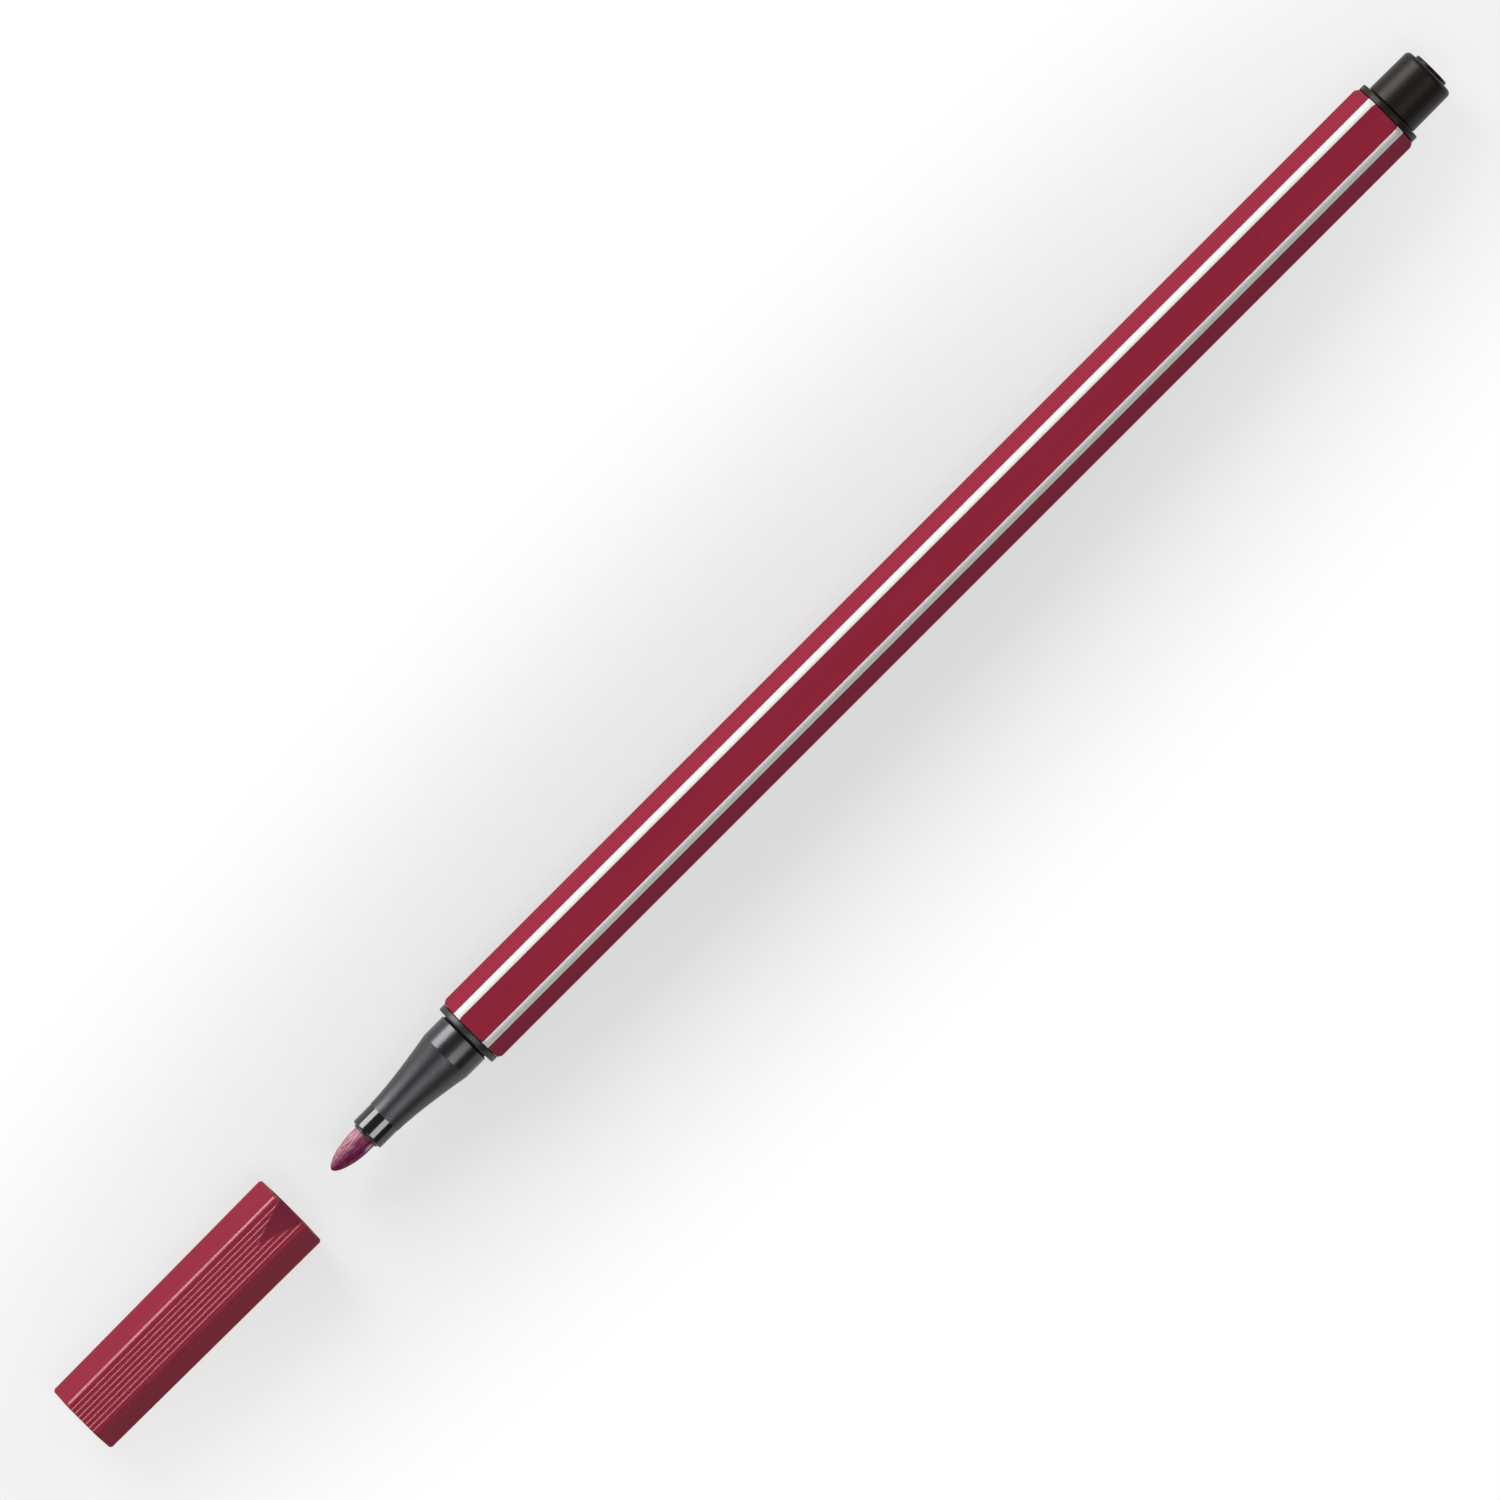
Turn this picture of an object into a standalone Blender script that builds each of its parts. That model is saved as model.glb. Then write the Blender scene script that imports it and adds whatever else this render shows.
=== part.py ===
"""A felt tip marker: a six-sided fibre pen lying on a flat, with its cap drawn off in line with the nib.

The pen's axis runs along X, with the nib towards -X, and the surface the pen lies on is Z = 0.
Each piece is modelled along its own Z axis and carried by an empty that lies on the pen's axis.
Stations along that axis start at the front flange, where a seated cap stops, and grow towards
the rear. Sizes are in millimetres, and mm() turns them into Blender's metres.
"""

from math import cos, pi, radians, sin, tan

import bmesh
import bpy
from mathutils import Matrix

# Fits between pieces
PRESS_CLEARANCE = 0.05
SLIDE_CLEARANCE = 0.05
FACE_GAP = 0.05

# Barrel: a six-sided tube with rounded corners
BARREL_LENGTH = 129.35
BARREL_ACROSS_FLATS = 7.1
BARREL_WALL = 0.65
BARREL_CORNER_RADIUS = 0.6
BARREL_CHAMFER_LENGTH = 0.6

# Flanges of the nose section and of the rear plug, which close the barrel's ends
FLANGE_PROUD = 0.2
FLANGE_STOP_WIDTH = 0.5
FLANGE_THICKNESS = 0.7
FLANGE_EDGE = 0.15
SPIGOT_LEAD = 0.3

# Nose section: spigot, flange, cap seat, cone and sealing collar
NOSE_SPIGOT_LENGTH = 9.0
SEAT_DIAMETER = 6.0
SEAT_LENGTH = 2.9
CONE_LENGTH = 8.6
CONE_NECK_BLEND = 2.85
COLLAR_WALL = 0.525
COLLAR_LENGTH = 2.5
COLLAR_EDGE = 0.3
COLLAR_STEP = 0.04
LIP_LENGTH = 0.2
LIP_WALL = 0.15

# Nib: a fibre rod with a rounded tip
NIB_DIAMETER = 2.65
NIB_REACH = 4.75
NIB_TAPER = 4.17
NIB_TIP_BLUNTNESS = 0.54
NIB_SHOULDER = 2.45
NIB_INSERTION = 4.0
NIB_TAIL_CHAMFER = 0.3

# Ink reservoir: a fibre core in a film wrap
WRAP_THICKNESS = 0.12
WRAP_SETBACK = 1.0
RESERVOIR_END_GAP = 0.5

# Rear plug: spigot, flange, post for the cap and a small boss
PLUG_SPIGOT_LENGTH = 8.0
PLUG_WALL = 1.0
POST_OVER_SEAT = 0.15
POST_TAPER = 0.1
POST_LENGTH = 5.5
POST_EDGE = 0.45
POST_END_WALL = 1.5
BOSS_DIAMETER = 4.0
BOSS_HEIGHT = 0.45
BOSS_EDGE = 0.12

# Cap shell: a six-sided cup that widens a little towards its mouth
CAP_LENGTH = 29.6
CAP_WALL = 0.575
CAP_WIDENING = 0.39
CAP_CORNER_RADIUS = 0.55
CAP_CHAMFER_LENGTH = 0.35
CAP_END_WALL = 1.2
CAP_VENT_DIAMETER = 2.0
CAP_MOUTH_LEAD = 0.15

# Fine grooves on the cap's top and bottom faces, which stop at a plain arrowhead by the mouth
GROOVE_COUNT = 7
GROOVE_PITCH = 0.5
GROOVE_WIDTH = 0.3
GROOVE_DEPTH = 0.12
GROOVE_OVERCUT = 0.3
ARROWHEAD_LENGTH = 4.8

# Cap liner: the sealing cup inside the cap, vented around its skirt
LINER_WALL = 0.5
LINER_MOUTH_GAP = 0.2
LINER_WEB = 0.9
LINER_SHOULDER = 0.6
LINER_SKIRT_WALL = 0.7
LINER_LEAD = 0.15
LINER_SLOTS = 4
LINER_SLOT_WIDTH = 1.2
NIB_TIP_ROOM = 0.9

# Distance from the nib's tip to the mouth of the cap as it lies
CAP_OPEN_GAP = 5.7

# Facets
ROUND_SIDES = 40
NIB_SIDES = 28
CORNER_SEGMENTS = 4
CURVE_STEPS = 9
EDGE_STEPS = 3
CUT_MARGIN = 0.5
SHARP_ANGLE = radians(32)

# Places and radii that follow from the sizes above
SEALING_STATION = -(SEAT_LENGTH + CONE_LENGTH)
COLLAR_FRONT = SEALING_STATION - COLLAR_LENGTH
LIP_FRONT = COLLAR_FRONT - LIP_LENGTH
NIB_TIP = LIP_FRONT - NIB_REACH
BARREL_FRONT = FLANGE_THICKNESS + FACE_GAP
BARREL_REAR = BARREL_FRONT + BARREL_LENGTH
NOSE_REAR = BARREL_FRONT + NOSE_SPIGOT_LENGTH
PLUG_FRONT = BARREL_REAR - PLUG_SPIGOT_LENGTH
PLUG_FLANGE_FRONT = BARREL_REAR + FACE_GAP
POST_FRONT = PLUG_FLANGE_FRONT + FLANGE_THICKNESS
POST_REAR = POST_FRONT + POST_LENGTH
BOSS_REAR = POST_REAR + BOSS_HEIGHT
RESERVOIR_FRONT = NOSE_REAR + RESERVOIR_END_GAP
RESERVOIR_REAR = PLUG_FRONT - RESERVOIR_END_GAP
NIB_REAR = RESERVOIR_FRONT + NIB_INSERTION
CAP_MOUTH = NIB_TIP - CAP_OPEN_GAP

BARREL_FLAT = BARREL_ACROSS_FLATS / 2
BARREL_BORE_RADIUS = BARREL_FLAT - BARREL_WALL
SEAT_RADIUS = SEAT_DIAMETER / 2
FLANGE_RADIUS = max(BARREL_FLAT + FLANGE_PROUD, SEAT_RADIUS + FLANGE_STOP_WIDTH)
SPIGOT_RADIUS = BARREL_BORE_RADIUS - PRESS_CLEARANCE
POST_RADIUS = (SEAT_DIAMETER + POST_OVER_SEAT) / 2
NIB_RADIUS = NIB_DIAMETER / 2
NIB_BORE_RADIUS = NIB_RADIUS + PRESS_CLEARANCE
COLLAR_RADIUS = NIB_BORE_RADIUS + COLLAR_WALL
WRAP_RADIUS = BARREL_BORE_RADIUS - PRESS_CLEARANCE
CORE_RADIUS = WRAP_RADIUS - WRAP_THICKNESS - PRESS_CLEARANCE
CAP_BORE_RADIUS = SEAT_RADIUS + SLIDE_CLEARANCE
CAP_END_FLAT = CAP_BORE_RADIUS + CAP_WALL
CAP_MOUTH_FLAT = CAP_END_FLAT + CAP_WIDENING / 2
LINER_BORE_RADIUS = COLLAR_RADIUS + COLLAR_STEP + SLIDE_CLEARANCE
AXIS_HEIGHT = max(CAP_MOUTH_FLAT, FLANGE_RADIUS)
MIDDLE_STATION = (CAP_MOUTH - CAP_LENGTH + BOSS_REAR) / 2


def mm(value):
    return value * 0.001


def hexagon_corner(flat):
    """Distance from the axis to a hexagon's sharp corner, from the distance to its flats."""
    return flat / cos(pi / 6)


def clear_scene():
    for obj in list(bpy.data.objects):
        bpy.data.objects.remove(obj)


def new_collection(name):
    collection = bpy.data.collections.new(name)
    bpy.context.scene.collection.children.link(collection)
    return collection


def new_carrier(name, station, collection):
    """An empty on the pen's axis, whose own Z runs along the pen towards the rear."""
    carrier = bpy.data.objects.new(name, None)
    carrier.location = (mm(station - MIDDLE_STATION), 0, mm(AXIS_HEIGHT))
    carrier.rotation_euler = (0, pi / 2, 0)
    carrier.empty_display_size = mm(BARREL_ACROSS_FLATS)
    collection.objects.link(carrier)
    return carrier


def new_object(name, mesh, carrier, collection):
    obj = bpy.data.objects.new(name, mesh)
    obj.parent = carrier
    collection.objects.link(obj)
    return obj


def make_cutter(obj):
    obj.hide_render = True
    obj.display_type = "WIRE"
    return obj


def turned(name, outline, sides, carrier, collection):
    """A closed turned solid. Its outline is (radius, station) points, rear to front down the outer side.

    An outline that starts and ends on the axis is left open there, and any other is closed.
    """
    points = [(mm(radius), 0, mm(station)) for radius, station in outline]
    edges = [(i, i + 1) for i in range(len(points) - 1)]
    if outline[0][0] > 0:
        edges.append((len(points) - 1, 0))
    mesh = bpy.data.meshes.new(name)
    mesh.from_pydata(points, edges, [])
    obj = new_object(name, mesh, carrier, collection)
    screw = obj.modifiers.new("turn", "SCREW")
    screw.axis = "Z"
    screw.angle = 2 * pi
    screw.steps = sides
    screw.render_steps = sides
    screw.use_merge_vertices = True
    screw.merge_threshold = 1e-6
    return obj


def hexagonal(name, rear_flat, front_flat, rear, front, corner_radius, carrier, collection):
    """A six-sided bar with rounded long edges, its flats facing the carrier's X."""
    bm = bmesh.new()
    middle = Matrix.Translation((0, 0, mm(rear + front) / 2))
    bmesh.ops.create_cone(
        bm,
        cap_ends=True,
        segments=6,
        radius1=mm(hexagon_corner(front_flat)),
        radius2=mm(hexagon_corner(rear_flat)),
        depth=mm(rear - front),
        matrix=middle,
    )
    weight = bm.edges.layers.float.new("bevel_weight_edge")
    for edge in bm.edges:
        start, end = edge.verts
        edge[weight] = float(abs(start.co.z - end.co.z) > mm(rear - front) / 2)
    mesh = bpy.data.meshes.new(name)
    bm.to_mesh(mesh)
    bm.free()
    obj = new_object(name, mesh, carrier, collection)
    bevel = obj.modifiers.new("rounded corners", "BEVEL")
    bevel.limit_method = "WEIGHT"
    bevel.width = mm(corner_radius * tan(pi / 6))
    bevel.segments = CORNER_SEGMENTS
    return obj


def cut(obj, cutter, operation):
    boolean = obj.modifiers.new(cutter.name, "BOOLEAN")
    boolean.operation = operation
    boolean.object = cutter
    boolean.solver = "EXACT"


def settle(obj, material):
    """Fix the modified shape as the object's mesh, smooth up to its sharp edges, in one material."""
    evaluated = obj.evaluated_get(bpy.context.evaluated_depsgraph_get())
    mesh = bpy.data.meshes.new_from_object(evaluated)
    mesh.name = obj.name
    obj.modifiers.clear()
    obj.data = mesh
    mesh.shade_smooth()
    mesh.set_sharp_from_angle(angle=SHARP_ANGLE)
    mesh.materials.clear()
    mesh.materials.append(material)
    return obj


def new_material(name, color, roughness):
    material = bpy.data.materials.new(name)
    material.use_nodes = True
    shader = material.node_tree.nodes["Principled BSDF"]
    shader.inputs["Base Color"].default_value = (*color, 1)
    shader.inputs["Roughness"].default_value = roughness
    shader.inputs["Metallic"].default_value = 0
    return material


def rounded_edge(radius, station, edge, start_angle):
    """A quarter round of an outline, about its own centre, turning clockwise from start_angle."""
    angles = [start_angle - radians(90) * i / EDGE_STEPS for i in range(EDGE_STEPS + 1)]
    return [(radius + edge * cos(angle), station + edge * sin(angle)) for angle in angles]


def curve(first, first_handle, last_handle, last):
    """Points of a cubic curve from first to last, both included."""
    points = []
    for i in range(CURVE_STEPS + 1):
        t = i / CURVE_STEPS
        weights = ((1 - t) ** 3, 3 * (1 - t) ** 2 * t, 3 * (1 - t) * t**2, t**3)
        corners = (first, first_handle, last_handle, last)
        points.append(tuple(sum(w * c[axis] for w, c in zip(weights, corners)) for axis in (0, 1)))
    return points


def chamfered_side(body_radius, rear_radius, front_radius, rear, front, chamfer):
    """Outer side of a turned blank that narrows to the given radii at its ends and runs on past them."""
    rear_run = (body_radius - rear_radius) / chamfer * CUT_MARGIN
    front_run = (body_radius - front_radius) / chamfer * CUT_MARGIN
    return [
        (rear_radius - rear_run, rear + CUT_MARGIN),
        (body_radius, rear - chamfer),
        (body_radius, front + chamfer),
        (front_radius - front_run, front - CUT_MARGIN),
    ]


def make_barrel(carrier, parts, cutters, material):
    """Six-sided tube. A turned blank gives it its bore and takes its corners down at both ends."""
    rear, front = BARREL_REAR, BARREL_FRONT
    flat, bore = BARREL_FLAT, BARREL_BORE_RADIUS
    barrel = hexagonal("barrel", flat, flat, rear, front, BARREL_CORNER_RADIUS, carrier, parts)
    body = hexagon_corner(flat)
    outline = chamfered_side(body, FLANGE_RADIUS, FLANGE_RADIUS, rear, front, BARREL_CHAMFER_LENGTH)
    outline += [(bore, front - CUT_MARGIN), (bore, rear + CUT_MARGIN)]
    blank = make_cutter(turned("barrel_blank", outline, ROUND_SIDES, carrier, cutters))
    cut(barrel, blank, "INTERSECT")
    return settle(barrel, material)


def make_nose_section(carrier, parts, material):
    """Turned section that holds the nib and that the cap seals on."""
    neck = COLLAR_RADIUS + COLLAR_STEP
    lip = NIB_BORE_RADIUS + LIP_WALL
    outline = [
        (SPIGOT_RADIUS - SPIGOT_LEAD, NOSE_REAR),
        (SPIGOT_RADIUS, NOSE_REAR - SPIGOT_LEAD),
        (SPIGOT_RADIUS, FLANGE_THICKNESS),
        (FLANGE_RADIUS, FLANGE_THICKNESS),
    ]
    outline += rounded_edge(FLANGE_RADIUS - FLANGE_EDGE, FLANGE_EDGE, FLANGE_EDGE, 0)
    outline += [(SEAT_RADIUS, 0)]
    outline += curve(
        (SEAT_RADIUS, -SEAT_LENGTH),
        (SEAT_RADIUS, -SEAT_LENGTH),
        (neck, SEALING_STATION + CONE_NECK_BLEND),
        (neck, SEALING_STATION),
    )
    outline += [(COLLAR_RADIUS, SEALING_STATION)]
    outline += rounded_edge(COLLAR_RADIUS - COLLAR_EDGE, COLLAR_FRONT + COLLAR_EDGE, COLLAR_EDGE, 0)
    outline += [
        (lip, COLLAR_FRONT),
        (lip, LIP_FRONT),
        (NIB_BORE_RADIUS, LIP_FRONT),
        (NIB_BORE_RADIUS, NOSE_REAR),
    ]
    return settle(turned("nose_section", outline, ROUND_SIDES, carrier, parts), material)


def make_nib(carrier, parts, material):
    """Fibre rod that runs from the rounded tip back into the reservoir."""
    outline = [
        (0, NIB_REAR),
        (NIB_RADIUS - NIB_TAIL_CHAMFER, NIB_REAR),
        (NIB_RADIUS, NIB_REAR - NIB_TAIL_CHAMFER),
    ]
    shoulder = NIB_TIP + NIB_TAPER
    outline += curve(
        (NIB_RADIUS, shoulder),
        (NIB_RADIUS, shoulder - NIB_SHOULDER),
        (NIB_TIP_BLUNTNESS, NIB_TIP),
        (0, NIB_TIP),
    )
    return settle(turned("nib", outline, NIB_SIDES, carrier, parts), material)


def make_ink_reservoir(carrier, parts, material):
    """Fibre core with a socket that takes the nib's tail."""
    socket_floor = NIB_REAR + FACE_GAP
    outline = [
        (0, RESERVOIR_REAR),
        (CORE_RADIUS, RESERVOIR_REAR),
        (CORE_RADIUS, RESERVOIR_FRONT),
        (NIB_BORE_RADIUS, RESERVOIR_FRONT),
        (NIB_BORE_RADIUS, socket_floor),
        (0, socket_floor),
    ]
    return settle(turned("ink_reservoir", outline, ROUND_SIDES, carrier, parts), material)


def make_reservoir_wrap(carrier, parts, material):
    """Film sleeve round the fibre core, a little shorter than the core at both ends."""
    rear = RESERVOIR_REAR - WRAP_SETBACK
    front = RESERVOIR_FRONT + WRAP_SETBACK
    inner = WRAP_RADIUS - WRAP_THICKNESS
    outline = [(WRAP_RADIUS, rear), (WRAP_RADIUS, front), (inner, front), (inner, rear)]
    return settle(turned("reservoir_wrap", outline, ROUND_SIDES, carrier, parts), material)


def make_rear_plug(carrier, parts, material):
    """Hollow plug that closes the barrel and carries the cap while the pen is in use."""
    boss = BOSS_DIAMETER / 2
    post_tip = POST_RADIUS - POST_TAPER / 2
    bore = SPIGOT_RADIUS - PLUG_WALL
    bore_floor = POST_REAR - POST_END_WALL
    outline = [(0, BOSS_REAR)]
    outline += rounded_edge(boss - BOSS_EDGE, BOSS_REAR - BOSS_EDGE, BOSS_EDGE, radians(90))
    outline += [(boss, POST_REAR)]
    outline += rounded_edge(post_tip - POST_EDGE, POST_REAR - POST_EDGE, POST_EDGE, radians(90))
    outline += [(POST_RADIUS, POST_FRONT)]
    flange_edge_station = POST_FRONT - FLANGE_EDGE
    outline += rounded_edge(FLANGE_RADIUS - FLANGE_EDGE, flange_edge_station, FLANGE_EDGE, radians(90))
    outline += [
        (FLANGE_RADIUS, PLUG_FLANGE_FRONT),
        (SPIGOT_RADIUS, PLUG_FLANGE_FRONT),
        (SPIGOT_RADIUS, PLUG_FRONT + SPIGOT_LEAD),
        (SPIGOT_RADIUS - SPIGOT_LEAD, PLUG_FRONT),
        (bore, PLUG_FRONT),
        (bore, bore_floor),
        (0, bore_floor),
    ]
    return settle(turned("rear_plug", outline, ROUND_SIDES, carrier, parts), material)


def arrowhead_edge(across):
    """Station of the plain arrowhead's edge, this far from the middle line of a grooved face."""
    half_base = (GROOVE_COUNT - 1) / 2 * GROOVE_PITCH + GROOVE_WIDTH / 2
    return -ARROWHEAD_LENGTH * (1 - abs(across) / half_base)


def cap_flat(station):
    """Distance from the axis to the cap's flats at a station behind its mouth."""
    share = -station / CAP_LENGTH
    return CAP_MOUTH_FLAT * (1 - share) + CAP_END_FLAT * share


def add_groove(bm, across, side):
    """A three-sided bar whose lower edge is the bottom of one V groove on the face at this side."""
    bar = bmesh.ops.create_cone(bm, cap_ends=True, segments=3, radius1=1, radius2=1, depth=2)
    widening = 1 + GROOVE_OVERCUT
    for vert in bar["verts"]:
        at_bottom = abs(vert.co.x) < 0.5
        at_mouth = vert.co.z > 0
        lean = 0 if at_bottom else GROOVE_WIDTH / 2 * widening * (1 if vert.co.x > 0 else -1)
        station = arrowhead_edge(across + lean) if at_mouth else -CAP_LENGTH - CUT_MARGIN
        rise = -GROOVE_DEPTH if at_bottom else GROOVE_DEPTH * GROOVE_OVERCUT
        vert.co = (mm(side * (cap_flat(station) + rise)), mm(across + lean), mm(station))


def make_groove_cutter(carrier, cutters):
    bm = bmesh.new()
    for side in (-1, 1):
        for i in range(GROOVE_COUNT):
            add_groove(bm, (i - (GROOVE_COUNT - 1) / 2) * GROOVE_PITCH, side)
    bmesh.ops.recalc_face_normals(bm, faces=bm.faces)
    mesh = bpy.data.meshes.new("cap_grooves")
    bm.to_mesh(mesh)
    bm.free()
    return make_cutter(new_object("cap_grooves", mesh, carrier, cutters))


def make_cap_shell(carrier, parts, cutters, material):
    """Six-sided cup, grooved on two faces. A turned blank gives it its bore, vent and end corners."""
    mouth, end = CAP_MOUTH_FLAT, CAP_END_FLAT
    shell = hexagonal("cap_shell", mouth, end, 0, -CAP_LENGTH, CAP_CORNER_RADIUS, carrier, parts)
    mouth_corner = hexagon_corner(mouth)
    mouth_radius = (mouth + mouth_corner) / 2
    end_radius = (end + hexagon_corner(end)) / 2
    outline = chamfered_side(mouth_corner, mouth_radius, end_radius, 0, -CAP_LENGTH, CAP_CHAMFER_LENGTH)
    vent = CAP_VENT_DIAMETER / 2
    cavity_floor = -CAP_LENGTH + CAP_END_WALL
    outline += [
        (vent, -CAP_LENGTH - CUT_MARGIN),
        (vent, cavity_floor),
        (CAP_BORE_RADIUS, cavity_floor),
        (CAP_BORE_RADIUS, -CAP_MOUTH_LEAD),
        (CAP_BORE_RADIUS + CAP_MOUTH_LEAD, 0),
        (CAP_BORE_RADIUS + CAP_MOUTH_LEAD, CUT_MARGIN),
    ]
    blank = make_cutter(turned("cap_blank", outline, ROUND_SIDES, carrier, cutters))
    cut(shell, blank, "INTERSECT")
    cut(shell, make_groove_cutter(carrier, cutters), "DIFFERENCE")
    return settle(shell, material)


def make_slot_cutter(front, rear, carrier, cutters):
    """Boxes that cut the liner's skirt into fingers, so that air passes round the sealing cup."""
    inner = LINER_BORE_RADIUS
    reach = CAP_BORE_RADIUS + CUT_MARGIN - inner
    bm = bmesh.new()
    for i in range(LINER_SLOTS):
        turn = Matrix.Rotation(2 * pi * i / LINER_SLOTS, 4, "Z")
        place = Matrix.Translation((mm(inner + reach / 2), 0, mm(front + rear) / 2))
        size = Matrix.Diagonal((mm(reach), mm(LINER_SLOT_WIDTH), mm(rear - front), 1))
        bmesh.ops.create_cube(bm, size=1, matrix=turn @ place @ size)
    mesh = bpy.data.meshes.new("liner_slots")
    bm.to_mesh(mesh)
    bm.free()
    return make_cutter(new_object("liner_slots", mesh, carrier, cutters))


def make_cap_liner(carrier, parts, cutters, material):
    """Sealing cup for the nib, on a slotted skirt that fills the closed end of the cap."""
    bore = LINER_BORE_RADIUS
    tube = bore + LINER_WALL
    skirt = CAP_BORE_RADIUS - PRESS_CLEARANCE
    skirt_bore = skirt - LINER_SKIRT_WALL
    mouth = SEALING_STATION - LINER_MOUTH_GAP
    chamber_end = NIB_TIP - NIB_TIP_ROOM
    web_end = chamber_end - LINER_WEB
    shoulder = web_end + LINER_SHOULDER
    skirt_end = -CAP_LENGTH + CAP_END_WALL + FACE_GAP
    outline = [
        (bore + LINER_LEAD, mouth),
        (tube, mouth),
        (tube, shoulder),
        (skirt, shoulder),
        (skirt, skirt_end),
        (skirt_bore, skirt_end),
        (skirt_bore, web_end),
        (0, web_end),
    ]
    inside = [(0, chamber_end), (bore, chamber_end), (bore, mouth - LINER_LEAD)]
    liner = turned("cap_liner", inside + outline, ROUND_SIDES, carrier, parts)
    slots = make_slot_cutter(skirt_end - CUT_MARGIN, shoulder + FACE_GAP, carrier, cutters)
    cut(liner, slots, "DIFFERENCE")
    return settle(liner, material)


def main():
    clear_scene()
    parts = new_collection("felt_tip_marker")
    cutters = new_collection("cutters")
    pen = new_carrier("pen_axis", 0, parts)
    cap = new_carrier("cap_axis", CAP_MOUTH, parts)
    maroon = (0.24, 0.019, 0.042)
    black = (0.014, 0.013, 0.014)
    make_barrel(pen, parts, cutters, new_material("barrel_plastic", maroon, 0.35))
    make_nose_section(pen, parts, new_material("nose_plastic", black, 0.45))
    make_nib(pen, parts, new_material("nib_fibre", (0.27, 0.035, 0.1), 0.8))
    make_ink_reservoir(pen, parts, new_material("inked_fibre", (0.2, 0.012, 0.045), 0.9))
    make_reservoir_wrap(pen, parts, new_material("clear_film", (0.75, 0.75, 0.76), 0.2))
    make_rear_plug(pen, parts, new_material("plug_plastic", black, 0.4))
    make_cap_shell(cap, parts, cutters, new_material("cap_plastic", maroon, 0.35))
    make_cap_liner(cap, parts, cutters, new_material("liner_plastic", (0.7, 0.69, 0.66), 0.4))


main()
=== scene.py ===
"""Looks of a felt tip marker: a six-sided fibre pen that lies on a white table with its cap drawn off.

Lengths are in millimetres until a mesh is made. X runs along the pen towards the rear plug, and Y and Z
are measured from the pen's axis. Angles round that axis start at +Z and grow towards +Y.
"""

from math import atan2, ceil, cos, pi, radians, sin, tan

import bmesh
import bpy
from mathutils import Matrix, Vector, noise


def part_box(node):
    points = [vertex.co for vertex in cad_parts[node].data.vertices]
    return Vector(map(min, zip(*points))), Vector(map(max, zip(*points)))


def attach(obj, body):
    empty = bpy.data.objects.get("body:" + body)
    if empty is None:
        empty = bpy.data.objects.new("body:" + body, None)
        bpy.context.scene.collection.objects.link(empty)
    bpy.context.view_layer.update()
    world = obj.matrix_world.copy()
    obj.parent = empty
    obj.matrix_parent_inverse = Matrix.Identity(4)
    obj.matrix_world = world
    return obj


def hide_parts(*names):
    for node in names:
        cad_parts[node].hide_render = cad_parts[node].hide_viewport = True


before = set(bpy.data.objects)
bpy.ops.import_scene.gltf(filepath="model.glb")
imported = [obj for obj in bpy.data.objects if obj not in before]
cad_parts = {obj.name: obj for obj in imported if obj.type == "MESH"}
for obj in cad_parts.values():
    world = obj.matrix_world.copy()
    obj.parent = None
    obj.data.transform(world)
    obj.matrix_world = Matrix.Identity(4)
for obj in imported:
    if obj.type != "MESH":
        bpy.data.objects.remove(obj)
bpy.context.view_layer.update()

MM = 0.001


def ends(cad_node):
    """Where a CAD node starts and ends along the pen."""
    low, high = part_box(cad_node)
    return low.x / MM, high.x / MM


# Places taken from the CAD nodes
BARREL_FRONT, BARREL_REAR = ends("barrel")
LIP_FRONT, NOSE_REAR = ends("nose_section")
NIB_TIP, NIB_REAR = ends("nib")
PLUG_FRONT, BOSS_REAR = ends("rear_plug")
CAP_END, CAP_MOUTH = ends("cap_shell")
AXIS_HEIGHT = (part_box("barrel")[0].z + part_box("barrel")[1].z) / 2 / MM

# Barrel
BARREL_FLAT = 3.55
BARREL_BORE = 2.9
BARREL_ROUNDING = 0.6
BARREL_END_RADIUS = 3.74
BARREL_CHAMFER = 0.6
BARREL_CHAMFER_RISE = 0.36
BARREL_EDGE = 0.08
STRIPE_ON_FRONT = 0.06
STRIPE_ON_SIDE = 0.4
STRIPED_CORNERS = (0, 2, 3, 5)
FRONT_AND_BACK = (0, 3)
STRIPED_AT_START = (1, 4)

# Flanges and spigots
FLANGE_RADIUS = 3.75
FLANGE_THICKNESS = 0.7
FLANGE_EDGE = 0.16
FLANGE_BACK_EDGE = 0.06
FACE_GAP = 0.05
SPIGOT_RADIUS = 2.85
SPIGOT_LEAD = 0.3
UNDERCUT_DEPTH = 0.2
OUTER_EDGE = 0.05
INNER_EDGE = 0.04

# Nose section
SEAT_RADIUS = 3.0
SEAT_LENGTH = 2.9
SEAT_STEP = 0.025
SEAT_UNDERCUT = 0.22
CONE_LENGTH = 8.6
CONE_NECK_BLEND = 2.85
NECK_RADIUS = 1.94
COLLAR_RADIUS = 1.9
COLLAR_LENGTH = 2.5
COLLAR_EDGE = 0.18
LIP_RADIUS = 1.525
NIB_BORE = 1.375

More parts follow.
